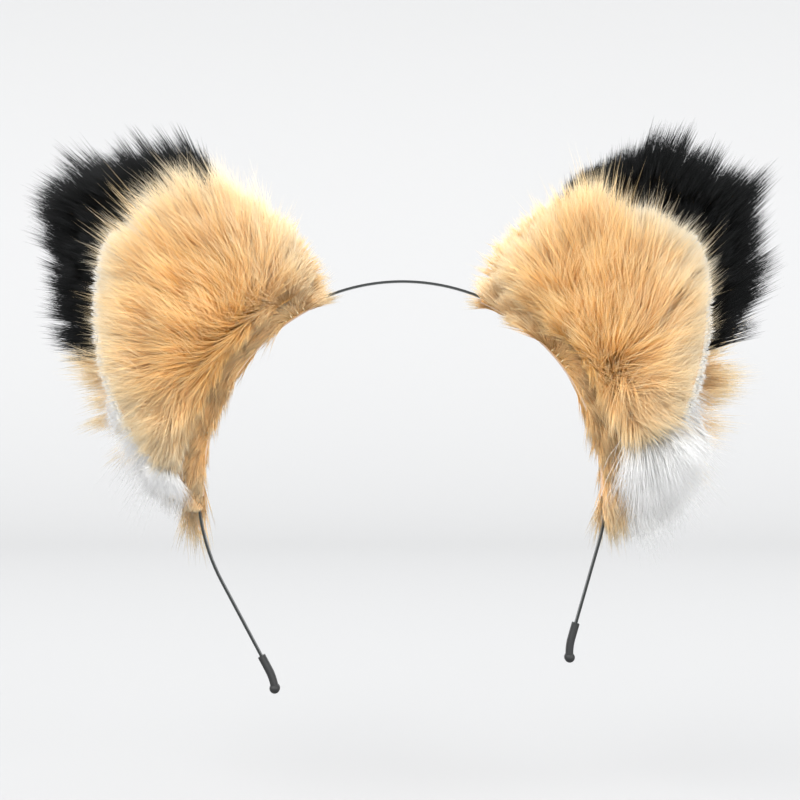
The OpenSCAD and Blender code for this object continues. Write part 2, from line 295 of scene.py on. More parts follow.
black_enamel = hard_material("baked black enamel on steel", "#050908", "#0D1513", 3.0, 0.28, 0.4, 0.0, 0.15)
black_rubber = hard_material("dipped black rubber", "#070808", "#101213", 0.4, 0.5, 0.7, 0.0, 0.4)
drawn_wire = hard_material("drawn aluminium wire", "#A9ABAE", "#C9CBCD", 0.5, 0.3, 0.45, 1.0, 0.3)
FINISHES = {"band_crown": black_enamel, "band_arm": black_enamel, "end_tip": black_rubber,
            "shaping_wire": drawn_wire}
for name, obj in nodes.items():
    for kind, finish in FINISHES.items():
        if name.startswith(kind):
            obj.data.materials.clear()
            obj.data.materials.append(finish)
            print(f"{name}: {finish.name}")

# %% [markdown]
# ## Cloth walls from the CAD layers
# Each CAD layer of an ear is a closed slab. Its inner or outer side, taken alone, is the sheet of cloth
# itself. The sheet's triangles are joined back into quads and subdivided, so that its outline is a
# smooth sewn curve.

# %% Take one side of a layer
def side_of(node, facing):
    """The faces of a CAD layer that look to the back (facing 1) or to the front (facing -1)."""
    bm = bmesh.new()
    bm.from_mesh(nodes[node].data)
    bmesh.ops.remove_doubles(bm, verts=bm.verts, dist=1e-6)
    bm.normal_update()
    away = [f for f in bm.faces if f.normal.y * facing < 0.5]
    bmesh.ops.delete(bm, geom=away, context="FACES")
    bmesh.ops.join_triangles(bm, faces=bm.faces, angle_face_threshold=0.8, angle_shape_threshold=1.4)
    return bm


def mesh_of(name, bm):
    """A mesh from a bmesh, which is then freed."""
    mesh = bpy.data.meshes.new(name)
    bm.to_mesh(mesh)
    bm.free()
    return mesh


def made(name, mesh):
    """A new object in the scene with that mesh."""
    obj = bpy.data.objects.new(name, mesh)
    scene.collection.objects.link(obj)
    return obj


def settled(obj):
    """Turns an object's modifiers into plain mesh and takes them off."""
    graph = bpy.context.evaluated_depsgraph_get()
    graph.update()
    mesh = bpy.data.meshes.new_from_object(obj.evaluated_get(graph), preserve_all_data_layers=True,
                                           depsgraph=graph)
    obj.modifiers.clear()
    obj.data = mesh
    mesh.name = obj.name
    return obj


def smooth_sheet(name, bm, levels=2):
    """A subdivided sheet from a coarse one."""
    obj = made(name, mesh_of(name, bm))
    curve = obj.modifiers.new("smooth", "SUBSURF")
    curve.levels = curve.render_levels = levels
    return settled(obj)


def vertices_of(mesh):
    """Vertex places and normals as two arrays, the places in millimetres."""
    places = np.empty(len(mesh.vertices) * 3, np.float32)
    normals = np.empty(len(mesh.vertices) * 3, np.float32)
    mesh.vertices.foreach_get("co", places)
    mesh.vertex_normals.foreach_get("vector", normals)
    return places.reshape(-1, 3) / MM, normals.reshape(-1, 3)


# %% [markdown]
# ## How a coat is combed
# Fur is read by its nap. For each wall the nap runs outwards from a pinch near the foot of the ear, as
# the hair was brushed over the edges. A trim line sets how long the hair is. It is the outline of the
# CAD fur, moved in or out by a few millimetres at some bearings, since real pile is clipped by hand.

# %% Places on a wall
FEET = {}
for side in SIDES:
    hinge = next(j for j in frame["joints"] if j["name"] == f"ear_tilt_{side}")
    FEET[side] = np.array([abs(hinge["pos_m"][0]), hinge["pos_m"][2]]) / MM
print("middle of each ear's foot, in mm:", {k: v.round(1).tolist() for k, v in FEET.items()})


def right_handed(mesh, side):
    """Places in mm and normals of either ear, in right-ear coordinates."""
    places, normals = vertices_of(mesh)
    return places * FLIP[side], normals * FLIP[side]


def middles_of(mesh, side):
    """The middle of each face, in mm and in right-ear coordinates."""
    return np.array([p.center for p in mesh.polygons]) / MM * FLIP[side]


def from_foot(places, side):
    """Bearing in degrees about the middle of the ear's foot, and distance from it in mm."""
    gone = places[..., [0, 2]] - FEET[side]
    return np.degrees(np.arctan2(gone[..., 1], gone[..., 0])), np.hypot(gone[..., 0], gone[..., 1])


def from_top(places):
    """Angle in degrees from the top of the band, and distance from the middle of its arc in mm."""
    return np.degrees(np.arctan2(places[:, 0], places[:, 2])), np.hypot(places[:, 0], places[:, 2])


def nearest(places, spots):
    """Distance in mm, as seen from the front, from each place to the nearest spot."""
    gaps = places[:, None, [0, 2]] - spots[None][:, :, [0, 2]]
    return np.sqrt((gaps ** 2).sum(2)).min(1)


# %% The four edges of a wall
FOOT_EDGE_MM = 4.0


def border_of(mesh, side):
    """The places on the open edge of a sheet."""
    used = {}
    for polygon in mesh.polygons:
        for key in polygon.edge_keys:
            used[key] = used.get(key, 0) + 1
    return right_handed(mesh, side)[0][sorted({v for key, n in used.items() if n == 1 for v in key})]


def edge_distances(mesh, side):
    """Distances in mm to the foot, medial, top and rim edges, and to the nearer of the two seams."""
    places, border = right_handed(mesh, side)[0], border_of(mesh, side)
    angle, reach = from_top(border)
    tip_angle, medial_angle = angle[reach.argmax()], angle[border[:, 2].argmax()]
    foot = reach < reach.min() + FOOT_EDGE_MM
    kinds = {"foot": foot, "medial": ~foot & (angle <= medial_angle),
             "top": ~foot & (angle > medial_angle) & (angle < tip_angle), "rim": ~foot & (angle >= tip_angle)}
    away = {kind: nearest(places, border[chosen]) for kind, chosen in kinds.items()}
    away["seam"] = np.minimum(away["medial"], away["top"])
    return away


# %% The trim line
BEARING_STEP = 4.0
BEARINGS = np.arange(-180, 181, BEARING_STEP)


def trim_line(layers, side, stations, extra):
    """How far the fur reaches from the foot's middle at each bearing: the CAD fur's reach, plus extra mm."""
    reach = np.zeros(len(BEARINGS))
    share = np.linspace(0, 1, 12)[None, :, None]
    for layer in layers:
        mesh = nodes[f"{layer}_{side}"].data
        places, _ = right_handed(mesh, side)
        ends = np.array([e.vertices[:] for e in mesh.edges])
        spots = places[ends[:, 0]][:, None] * (1 - share) + places[ends[:, 1]][:, None] * share
        bearing, far = from_foot(spots.reshape(-1, 3), side)
        np.maximum.at(reach, np.rint((bearing + 180) / BEARING_STEP).astype(int), far)
    reach[0] = reach[-1] = max(reach[0], reach[-1])
    return reach + np.interp(BEARINGS, stations, extra)


def trimmed(places, mean, full, reach, side):
    """The length in mm, up to full, at which a strand from each place meets the trim line."""
    steps = np.arange(1.0, full + 1.0)
    bearing, far = from_foot(places[:, None] + steps[None, :, None] * mean[:, None], side)
    outside = far > np.interp(bearing, BEARINGS, reach)
    return np.where(outside.any(1), steps[outside.argmax(1)], full)


# %% Small helpers for combing
def wander(places, seed, size_mm):
    """A smooth random number, mostly from -1 to 1, that changes over about size_mm."""
    chance = np.random.default_rng(seed)
    total = np.zeros(len(places))
    for _ in range(6):
        way = chance.normal(size=3)
        way *= 2 * math.pi / (size_mm * chance.uniform(0.8, 2.0) * np.linalg.norm(way))
        total += np.sin(places @ way + chance.uniform(0, 2 * math.pi))
    return total / 2.5


def turned(vectors, degrees):
    """Vectors turned in the X-Z plane."""
    c, d = np.cos(np.radians(degrees)), np.sin(np.radians(degrees))
    return np.stack([vectors[:, 0] * c - vectors[:, 2] * d, vectors[:, 1],
                     vectors[:, 0] * d + vectors[:, 2] * c], 1)


def ramp(value, start, end, low=0.0, high=1.0):
    """Smoothly from low to high as value goes from start to end."""
    k = np.clip((value - start) / (end - start), 0, 1)
    return low + (high - low) * k * k * (3 - 2 * k)


def unit(v):
    return v / np.maximum(np.linalg.norm(v, axis=1, keepdims=True), 1e-9)


def store(mesh, side, nap_root, nap_tip, pile, crowd, tone):
    """Writes the combing onto the root surface, turned back to its own side."""
    for name, kind, values in (
        ("nap_root", "FLOAT_VECTOR", nap_root * FLIP[side]),
        ("nap_tip", "FLOAT_VECTOR", nap_tip * FLIP[side]),
        ("pile", "FLOAT", pile), ("crowd", "FLOAT", crowd), ("tone", "FLOAT", tone),
    ):
        layer = mesh.attributes.new(name, kind, "POINT")
        layer.data.foreach_set("vector" if kind == "FLOAT_VECTOR" else "value",
                               np.ascontiguousarray(values, np.float32).ravel())


# %% [markdown]
# ## The pile itself
# One Geometry Nodes tree grows every coat. It scatters roots over the sheet, draws each strand as a
# slim three-sided cone, bends it from the root direction to the tip direction, and draws the strands of
# one lock together towards the lock's middle. The seed is fixed, so the coat is the same each time.

# %% Build the pile tree
def pile_tree():
    tree, given = new_tree("combed pile", {
        "Strands per Area": "Float", "Locks per Area": "Float", "Strand Length": "Float",
        "Strand Width": "Float", "Shortest": "Float", "Stray": "Float", "Lock Stray": "Float",
        "Lock Hold": "Float", "Segments": "Int", "Seed": "Int", "Finish": "Material"})
    vector, number = {"data_type": "FLOAT_VECTOR"}, {"data_type": "FLOAT"}
    nap_root = add(tree, "GeometryNodeInputNamedAttribute", vector, {"Name": "nap_root"}).outputs[0]
    nap_tip = add(tree, "GeometryNodeInputNamedAttribute", vector, {"Name": "nap_tip"}).outputs[0]
    pile = add(tree, "GeometryNodeInputNamedAttribute", number, {"Name": "pile"}).outputs[0]
    crowd = add(tree, "GeometryNodeInputNamedAttribute", number, {"Name": "crowd"}).outputs[0]
    place = add(tree, "GeometryNodeInputPosition").outputs[0]
    seeds = [add(tree, "ShaderNodeMath", {"operation": "ADD"}, {0: given["Seed"], 1: float(k)}).outputs[0]
             for k in range(6)]

    # Roots, and the middles of the locks that they gather into
    thick = add(tree, "ShaderNodeMath", {"operation": "MULTIPLY"}, {0: given["Strands per Area"], 1: crowd})
    roots = add(tree, "GeometryNodeDistributePointsOnFaces", None,
                {"Mesh": given["Geometry"], "Density": thick.outputs[0], "Seed": seeds[0]})
    locks = add(tree, "GeometryNodeDistributePointsOnFaces", None,
                {"Mesh": given["Geometry"], "Density": given["Locks per Area"], "Seed": seeds[1]})
    lock = add(tree, "GeometryNodeSampleNearest", {"domain": "POINT"},
               {"Geometry": locks.outputs["Points"], "Sample Position": place}).outputs[0]
    middle = add(tree, "GeometryNodeSampleIndex", {"data_type": "FLOAT_VECTOR", "domain": "POINT"},
                 {"Geometry": locks.outputs["Points"], "Value": place, "Index": lock}).outputs[0]
    inward = add(tree, "ShaderNodeVectorMath", {"operation": "SUBTRACT"}, {0: middle, 1: place}).outputs[0]
    hold = add(tree, "FunctionNodeRandomValue", number, {2: 0.6, 3: 1.0, "Seed": seeds[5]}).outputs[1]
    hold = add(tree, "ShaderNodeMath", {"operation": "MULTIPLY"}, {0: given["Lock Hold"], 1: hold}).outputs[0]
    gather = add(tree, "ShaderNodeVectorMath", {"operation": "SCALE"}, {0: inward, "Scale": hold}).outputs[0]

    # Direction and length of each strand, from its own chance and its lock's
    own = add(tree, "FunctionNodeRandomValue", vector, {0: (-1, -1, -1), 1: (1, 1, 1), "Seed": seeds[2]})
    shared = add(tree, "FunctionNodeRandomValue", vector,
                 {0: (-1, -1, -1), 1: (1, 1, 1), "ID": lock, "Seed": seeds[3]})
    own = add(tree, "ShaderNodeVectorMath", {"operation": "SCALE"},
              {0: own.outputs[0], "Scale": given["Stray"]})
    shared = add(tree, "ShaderNodeVectorMath", {"operation": "SCALE"},
                 {0: shared.outputs[0], "Scale": given["Lock Stray"]})
    astray = add(tree, "ShaderNodeVectorMath", {"operation": "ADD"},
                 {0: own.outputs[0], 1: shared.outputs[0]})
    uneven = add(tree, "FunctionNodeRandomValue", number,
                 {2: given["Shortest"], 3: 1.0, "Seed": seeds[4]}).outputs[1]
    lock_uneven = add(tree, "FunctionNodeRandomValue", number,
                      {2: 0.8, 3: 1.1, "ID": lock, "Seed": seeds[5]}).outputs[1]
    length = given["Strand Length"]
    for factor in (pile, uneven, lock_uneven):
        length = add(tree, "ShaderNodeMath", {"operation": "MULTIPLY"}, {0: length, 1: factor}).outputs[0]
    start = add(tree, "ShaderNodeVectorMath", {"operation": "ADD"}, {0: nap_root, 1: astray.outputs[0]})
    first = add(tree, "ShaderNodeVectorMath", {"operation": "SCALE"}, {0: start.outputs[0], "Scale": length})
    turn = add(tree, "ShaderNodeVectorMath", {"operation": "SUBTRACT"}, {0: nap_tip, 1: nap_root})
    turn = add(tree, "ShaderNodeVectorMath", {"operation": "MULTIPLY_ADD"},
               {0: turn.outputs[0], 1: (0.5, 0.5, 0.5), 2: shared.outputs[0]})
    bend = add(tree, "ShaderNodeVectorMath", {"operation": "SCALE"}, {0: turn.outputs[0], "Scale": length})
    mean = add(tree, "ShaderNodeVectorMath", {"operation": "MULTIPLY_ADD"},
               {0: bend.outputs[0], 1: (0.7, 0.7, 0.7), 2: first.outputs[0]})
    tint = add(tree, "FunctionNodeRandomValue", number, {2: 0.0, 3: 0.6, "Seed": seeds[1]}).outputs[1]
    lock_tint = add(tree, "FunctionNodeRandomValue", number,
                    {2: 0.0, 3: 0.4, "ID": lock, "Seed": seeds[2]}).outputs[1]
    tint = add(tree, "ShaderNodeMath", {"operation": "ADD"}, {0: tint, 1: lock_tint}).outputs[0]
    shape = roots.outputs["Points"]
    for name, kind, value in (("first", vector, first.outputs[0]), ("bend", vector, bend.outputs[0]),
                              ("gather", vector, gather), ("shade", number, tint)):
        shape = add(tree, "GeometryNodeStoreNamedAttribute", {**kind, "domain": "POINT"},
                    {"Geometry": shape, "Name": name, "Value": value}).outputs[0]

    # One strand: a closed cone of unit height that narrows slowly and then to a point
    cone = add(tree, "GeometryNodeMeshCone", {"fill_type": "NGON"},
               {"Vertices": 3, "Side Segments": given["Segments"], "Fill Segments": 1, "Radius Top": 0.0,
                "Radius Bottom": 1.0, "Depth": 1.0}).outputs[0]
    height = add(tree, "ShaderNodeSeparateXYZ", None, {0: place}).outputs["Z"]
    left = add(tree, "ShaderNodeMath", {"operation": "SUBTRACT", "use_clamp": True}, {0: 1.02, 1: height})
    fuller = add(tree, "ShaderNodeMath", {"operation": "POWER"}, {0: left.outputs[0], 1: -0.45})
    spread = add(tree, "ShaderNodeCombineXYZ", None, {0: fuller.outputs[0], 1: fuller.outputs[0], 2: 1.0})
    wider = add(tree, "ShaderNodeVectorMath", {"operation": "MULTIPLY"}, {0: place, 1: spread.outputs[0]})
    cone = add(tree, "GeometryNodeStoreNamedAttribute", {**number, "domain": "POINT"},
               {"Geometry": cone, "Name": "along", "Value": height}).outputs[0]
    cone = add(tree, "GeometryNodeSetPosition", None,
               {"Geometry": cone, "Position": wider.outputs[0]}).outputs[0]

    # Strands stand on their roots as flat rings, and are then drawn out along their curve
    facing = add(tree, "FunctionNodeAlignRotationToVector", {"axis": "Z"}, {"Vector": mean.outputs[0]})
    thin = add(tree, "ShaderNodeCombineXYZ", None,
               {0: given["Strand Width"], 1: given["Strand Width"], 2: 1e-5})
    many = add(tree, "GeometryNodeInstanceOnPoints", None,
               {"Points": shape, "Instance": cone, "Rotation": facing.outputs[0], "Scale": thin.outputs[0]})
    real = add(tree, "GeometryNodeRealizeInstances", None, {"Geometry": many.outputs[0]}).outputs[0]
    along = add(tree, "GeometryNodeInputNamedAttribute", number, {"Name": "along"}).outputs[0]
    path = None
    for name, power in (("first", 1.0), ("bend", 2.0), ("gather", 1.6)):
        held = add(tree, "GeometryNodeInputNamedAttribute", vector, {"Name": name}).outputs[0]
        grown = add(tree, "ShaderNodeMath", {"operation": "POWER"}, {0: along, 1: power}).outputs[0]
        part = add(tree, "ShaderNodeVectorMath", {"operation": "SCALE"}, {0: held, "Scale": grown}).outputs[0]
        path = part if path is None else add(tree, "ShaderNodeVectorMath", {"operation": "ADD"},
                                             {0: path, 1: part}).outputs[0]
    drawn = add(tree, "GeometryNodeSetPosition", None, {"Geometry": real, "Offset": path}).outputs[0]
    soft = add(tree, "GeometryNodeSetShadeSmooth", None, {"Geometry": drawn}).outputs[0]
    finished = add(tree, "GeometryNodeSetMaterial", None,
                   {"Geometry": soft, "Material": given["Finish"]}).outputs[0]
    add(tree, "NodeGroupOutput", None, {0: finished})
    return tree


PILE = pile_tree()
PILE_INPUTS = identifiers(PILE)
print("pile tree:", len(PILE.nodes), "nodes; inputs", [n for n in PILE_INPUTS if n != "Geometry"])


# %% [markdown]
# Hair may stand only a little way out of the CAD model's box, or the ear would no longer be the size that
# it was designed to be. Cutting hair off at a plane would show, so what stands out too far is pressed back
# softly instead, as a hand does when it smooths a coat.

# %% Grow one coat
BOX_SHARE, FREE_MM, SOFT_MM = 0.03, 9.0, 8.0


def combed_in(mesh):
    """Presses hair that stands far out of the CAD model's box softly back towards it."""
    flat = np.empty(len(mesh.vertices) * 3, np.float32)
    mesh.vertices.foreach_get("co", flat)
    places = flat.reshape(-1, 3).astype(float) / MM
    low, high = np.array(cad_box) / MM
    room = BOX_SHARE * (high - low) + FREE_MM - SOFT_MM
    for sign, edge in ((1, high + room), (-1, room - low)):
        over = np.maximum(sign * places - edge, 0)
        places -= sign * (over - SOFT_MM * np.tanh(over / SOFT_MM))
    mesh.vertices.foreach_set("co", (places * MM).astype(np.float32).ravel())
    mesh.update()


def grow(name, sheet, strands, length_mm, width_mm, material, seed, stray=0.12, lock_stray=0.12,
         lock_hold=0.5, lock_mm2=12.0, shortest=0.66, segments=3):
    """Grows about that many strands from a combed sheet and returns them as a plain mesh object."""
    crowd = np.array([a.value for a in sheet.data.attributes["crowd"].data])
    area = sum(p.area * crowd[list(p.vertices)].mean() for p in sheet.data.polygons)
    grower = sheet.modifiers.new("pile", "NODES")
    grower.node_group = PILE
    wanted = {"Strands per Area": strands / area, "Locks per Area": 1 / (lock_mm2 * MM * MM),
              "Strand Length": length_mm * MM, "Strand Width": width_mm * MM / 2, "Shortest": shortest,
              "Stray": stray, "Lock Stray": lock_stray, "Lock Hold": lock_hold, "Segments": segments,
              "Seed": seed, "Finish": material}
    for key, value in wanted.items():
        grower[PILE_INPUTS[key]] = value
    settled(sheet)
    for spare in ("first", "bend", "gather", "nap_root", "nap_tip", "pile", "crowd"):
        layer = sheet.data.attributes.get(spare)
        if layer is not None:
            sheet.data.attributes.remove(layer)
    combed_in(sheet.data)
    sheet.name = sheet.data.name = name
    count = len(sheet.data.vertices) // (3 * segments + 1)
    print(f"{name}: {count} strands, {sum(len(p.vertices) - 2 for p in sheet.data.polygons)} triangles")
    return sheet


# %% [markdown]
# ## Coats of the two walls
# The roots of a coat lie on the outer side of a wall's lining, pushed out to where the fur's backing
# lies. Along the closed seams they come back towards the seam, so that the two coats meet over it and
# hide the thread. The back wall is cut a little larger than the front one, which is why its black fur
# stands round the front like a halo. The two ears were combed by hand, so each has its own pinch, trim
# line and colour lines. Each list of bearings about the foot goes with its list of millimetres. The
# white hair starts, and the strip's hair parts, at an angle from the top of the band. The black hair
# starts at a bearing about the foot.

# %% How each ear is combed, trimmed and coloured
DOWN = np.array([0, 0, -1.0])
ROOT_LEVELS, BACKING_OUT = 3, 4.0
GUARD_MM, UNDER_MM = 30.0, 18.0
PINCH = {"left": (-19.0, 2.0), "right": (6.0, -6.0)}
PINCH_SHIFT = [(5.0, 4.0), (-5.0, -5.0), (0.0, -9.0), (0.0, 0.0)]
WHITE_FROM = {"left": 87.0, "right": 77.0}
FRONT_EXTRA = {"left": ([-60, -10, 10, 40, 50, 60, 70, 80, 95, 105, 118, 130, 150],
                        [-1, -2, -3, -4, -5, 0, 9, 6, 0, -5, 0, 3, 8]),
               "right": ([-75, -62, -45, -27, 10, 40, 50, 65, 77, 88, 98, 110, 120, 150],
                         [-8, -7, -4, -1, -4, -4, -5, -1, -5, -1, -5, -7, -3, 2])}
BACK_EXTRA = {"left": ([-60, -20, 0, 20, 35, 50, 60, 66, 72, 80, 88, 100, 150],
                       [0, -2, -1, -2, 0, 6, 7, 3, 8, 9, -5, -7, -4]),
              "right": ([-60, -25, 0, 10, 20, 30, 40, 50, 60, 70, 90, 105, 150],
                        [8, 11, 3, -1, 3, 5, 6, 4, 7, 1, 2, -4, -5])}
LOW_BLACK = {"left": 3.0, "right": 9.0}
FLUFF_REACH = {"left": ([-95, -70, -50, -16, 5], [52, 56, 50, 44, 34]),
               "right": ([-95, -72, -54, -34, -15, 5], [58, 66, 64, 57, 44, 34])}
STRIP_PARTS = {"left": (27.0, 38.0), "right": (44.0, 58.0)}
BACK_SHARE = 1.16
BACK_LAYERS = ["back_fur", "black_tip_fur"]
print("pinch of each coat, in mm from the foot:", PINCH)


# %% Shared combing
def nap_from(places, normals, side, soft_mm=16.0, shift=(0.0, 0.0)):
    """The combed direction on a wall: away from the pinch, and along the cloth."""
    away = (places[:, [0, 2]] - FEET[side]) - np.array(PINCH[side]) - np.array(shift)
    away = away / np.maximum(np.linalg.norm(away, axis=1, keepdims=True), soft_mm)
    outward = np.stack([away[:, 0], np.zeros(len(away)), away[:, 1]], 1)
    return outward - normals * (outward * normals).sum(1, keepdims=True)


def near_black(places, side):
    """How much nearer, in mm, a place is to the fur of the black tip than to the orange fur of the back."""
    orange, black = (nearest(places, middles_of(nodes[f"{node}_{side}"].data, side)) for node in BACK_LAYERS)
    return orange - black


def pushed(obj, side, share, y_mm):
    """Moves each point of a sheet its own y_mm along Y. It is also made wider by share about the foot,
    but only round the tip, and not along the medial seam or the lower rim."""
    places, _ = right_handed(obj.data, side)
    bearing, _ = from_foot(places, side)
    wider = 1 + (share - 1) * ramp(bearing, 118, 75) * ramp(bearing, 12, 40)
    places[:, [0, 2]] = FEET[side] + (places[:, [0, 2]] - FEET[side]) * wider[:, None]
    places[:, 1] += y_mm
    obj.data.vertices.foreach_set("co", (places * FLIP[side] * MM).astype(np.float32).ravel())
    obj.data.update()


def along_band(places, side):
    """The hair's direction along the band, which is up and inwards at the top and down over the lower
    part, then the direction outwards, and the one down along the band."""
    radial = unit(places * [1, 0, 1])
    downward = np.stack([radial[:, 2], np.zeros(len(radial)), -radial[:, 0]], 1)
    return downward * ramp(from_top(places)[0], *STRIP_PARTS[side], -1.0, 1.0)[:, None], radial, downward


def swept(outward, places, side, from_edge, inward_share):
    """Lays hair that would point in over the band along it, and combs the foot's edge along the band.
    The second result is how far each hair would have pointed in, from 0 to -1."""
    along, radial, downward = along_band(places, side)
    parted = ramp(from_edge, 0.5, 5.0)[:, None]
    inward = np.minimum((outward * radial).sum(1, keepdims=True), 0)
    way = np.where((outward * downward).sum(1, keepdims=True) < 0, -1.0, 1.0)
    outward = outward - radial * inward * 0.85 - downward * way * inward * 0.8
    firm = np.linalg.norm(along, axis=1, keepdims=True)
    edge = along * 0.9 + radial * ((1 - firm) * 0.9 - inward_share * firm)
    return outward * parted + edge * (1 - parted), inward[:, 0]


# %% Roots on a lining
def lining_roots(side, layer, facing):
    """One side of a lining as the root surface of a coat, and its distances to the wall's edges."""
    sheet = smooth_sheet(f"roots_{side}", side_of(f"{layer}_lining_{side}", facing), ROOT_LEVELS)
    return sheet, edge_distances(sheet.data, side)


def over_backing(sheet, side, facing, share, from_seam):
    """Pushes roots out to the fur's backing, but less near the closed seams, where two coats meet."""
    pushed(sheet, side, share, facing * BACKING_OUT * ramp(from_seam, 0, 9, 0.3, 1.0))
    return right_handed(sheet.data, side)


# %% [markdown]
# The front wall is grown in three layers, as real pile has long guard hair over short, dense hair. The
# layers are combed from slightly different pinches, so that they cross and the coat looks tousled. At
# the lower end the orange stops along a line, and the same roots grow white hair instead.

# %% Front wall
def front_coat(side, seed, layer):
    """Layers 0 and 1 are long guard hair, 2 the shorter, denser hair under it, 3 the white at its end."""
    sheet, away = lining_roots(side, "front", -1)
    places, normals = over_backing(sheet, side, -1, 1.0, away["seam"])
    swirl = wander(places, 7 + layer * 13, 14) * ramp(away["foot"], 4, 26, 34, 11)
    outward = turned(nap_from(places, normals, side, shift=PINCH_SHIFT[layer]), swirl)
    outward, inward = swept(outward, places, side, away["foot"], 0.35)
    rise = ramp(away["foot"], 0, 25, 1.0, 0.5) + 0.2 * wander(places, 8, 10)
    nap_root = unit(outward * 0.95 + normals * rise[:, None])
    nap_tip = unit(outward + normals * 0.04 + DOWN * 0.10)
    turn, white_from = from_top(places)[0], WHITE_FROM[side]
    if layer == 3:
        crowd = ramp(turn, white_from - 3, white_from + 1) * ramp(away["foot"], 1, 6)
        nap_tip = unit(outward + normals * 0.1 + DOWN * 0.1)
        reach = np.interp(BEARINGS, *FLUFF_REACH[side])
        pile = trimmed(places, nap_tip, GUARD_MM, reach, side) / GUARD_MM
        store(sheet.data, side, nap_root, nap_tip, pile, crowd, np.ones(len(places)))
        return grow(f"front_white_{side}", sheet, 1500, GUARD_MM, 0.2, white_fibre, seed, stray=0.2,
                    segments=2)
    full = UNDER_MM if layer == 2 else GUARD_MM
    reach = trim_line(["front_fur"], side, *FRONT_EXTRA[side])
    ragged = (1 + 0.12 * wander(places, 10, 5)) * ramp(away["foot"], 0, 10, 0.6, 1.0) * (1 + 0.4 * inward)
    pile = trimmed(places, (nap_root + nap_tip) / 2, full, reach, side) / full * ragged
    # Paler towards the rim, and paler near the closed seams, which is painted glow of the light behind on the
    # fur's edge
    tone = ramp(away["rim"], 36, 4) * 0.9 + ramp(away["seam"], 30, 0) * 0.75
    crowd = ramp(away["foot"], 0, 14, 1.7, 1.0) * ramp(turn, white_from + 2, white_from - 3)
    crowd *= ramp(away["rim"], 0.5, 3.0, 0.25, 1.0)
    store(sheet.data, side, nap_root, nap_tip, pile, crowd, np.clip(tone, 0, 1))
    if layer == 2:
        return grow(f"front_underpile_{side}", sheet, 10500, full, 0.28, orange_fibre, seed,
                    stray=0.3, segments=2)
    return grow(f"front_pile_{layer}_{side}", sheet, 9800, full, 0.22, orange_fibre, seed, stray=0.12,
                lock_stray=0.15, lock_hold=0.6, lock_mm2=8.0, shortest=0.78)


# %% [markdown]
# The back wall is two fabrics sewn edge to edge, so its coat is grown twice from the same roots: orange
# below and black above. Where its lining ends, the black fabric is turned over the edge, and a few short
# black hairs on the inner side hide that edge from the front.

# %% Back wall
def back_coat(side, seed, black):
    """The black hair of the tip, or the orange hair below it. The gap is how far inside the black a
    place is, in mm."""
    sheet, away = lining_roots(side, "back", 1)
    places, _ = right_handed(sheet.data, side)
    bearing, _ = from_foot(places, side)
    gap = near_black(places, side)
    gap = np.maximum(gap, np.minimum(26.0 - away["rim"], (bearing - 9.0) * 2))
    gap = np.minimum(gap, (bearing - LOW_BLACK[side]) * 0.7)
    places, normals = over_backing(sheet, side, 1, BACK_SHARE, away["seam"])
    outward = turned(nap_from(places, normals, side), wander(places, 9, 15) * (4 if black else 10))
    outward, inward = swept(outward, places, side, away["foot"], 0.25)
    edge = np.minimum(away["seam"], away["rim"])
    nap_root = unit(outward * 0.9 + normals * ramp(edge, 0, 25, 0.25, 0.75)[:, None])
    nap_tip = unit(outward + normals * 0.05 + DOWN * 0.04)
    reach = trim_line(BACK_LAYERS, side, *BACK_EXTRA[side])
    pile = trimmed(places, (nap_root + nap_tip) / 2, GUARD_MM, reach, side) / GUARD_MM
    pile *= ramp(away["foot"], 0, 12, 0.6, 1.0) * ramp(away["medial"], 0, 30, 0.8, 1.0)
    pile *= 1 + 0.4 * inward
    pile += ramp(away["foot"], 4, 1) * (0.26 - pile)
    crowd = ramp(edge, 2, 16, 4.2 if black else 3.0, 0.7) * ramp(away["foot"], 0, 6, 1.6, 1.0)
    if black:
        store(sheet.data, side, nap_root, nap_tip, pile, crowd * ramp(gap, -2, 2), np.zeros(len(places)))
        return grow(f"black_pile_{side}", sheet, 12000, GUARD_MM, 0.42, black_fibre, seed, stray=0.11,
                    lock_stray=0.06, lock_hold=0.2, lock_mm2=4.0, shortest=0.85, segments=2)
    above_corner = bearing > LOW_BLACK[side] + 14
    pile *= np.where(above_corner, ramp(gap, 0, -22, 0.35, 1.0), ramp(gap, 0, -6, 0.45, 1.0))
    store(sheet.data, side, nap_root, nap_tip, pile, crowd * ramp(gap, 2, -2), ramp(away["rim"], 20, 0) * 0.6)
    return grow(f"back_pile_{side}", sheet, 8800, GUARD_MM, 0.30, orange_fibre, seed, segments=2)


def inner_tip_coat(side, seed):
    """Black hair on the inner side of the back wall, round the tip, where it stands past its lining."""
    sheet, away = lining_roots(side, "back", 1)
    edge = np.minimum(away["top"], away["rim"])
    pushed(sheet, side, BACK_SHARE, 1.9)
    places, normals = right_handed(sheet.data, side)
    bearing, _ = from_foot(places, side)
    outward = nap_from(places, normals, side)
    full = 14.0
    reach = trim_line(BACK_LAYERS, side, *BACK_EXTRA[side])
    pile = trimmed(places, unit(outward), full, reach, side) / full
    crowd = ramp(edge, 12, 9) * ramp(bearing, 112, 84) * ramp(bearing, 14, 34)
    store(sheet.data, side, unit(outward * 0.9 - normals * 0.4), unit(outward - normals * 0.1), pile, crowd,
          np.zeros(len(places)))
    return grow(f"black_inner_pile_{side}", sheet, 2600, full, 0.36, black_fibre, seed, segments=2)


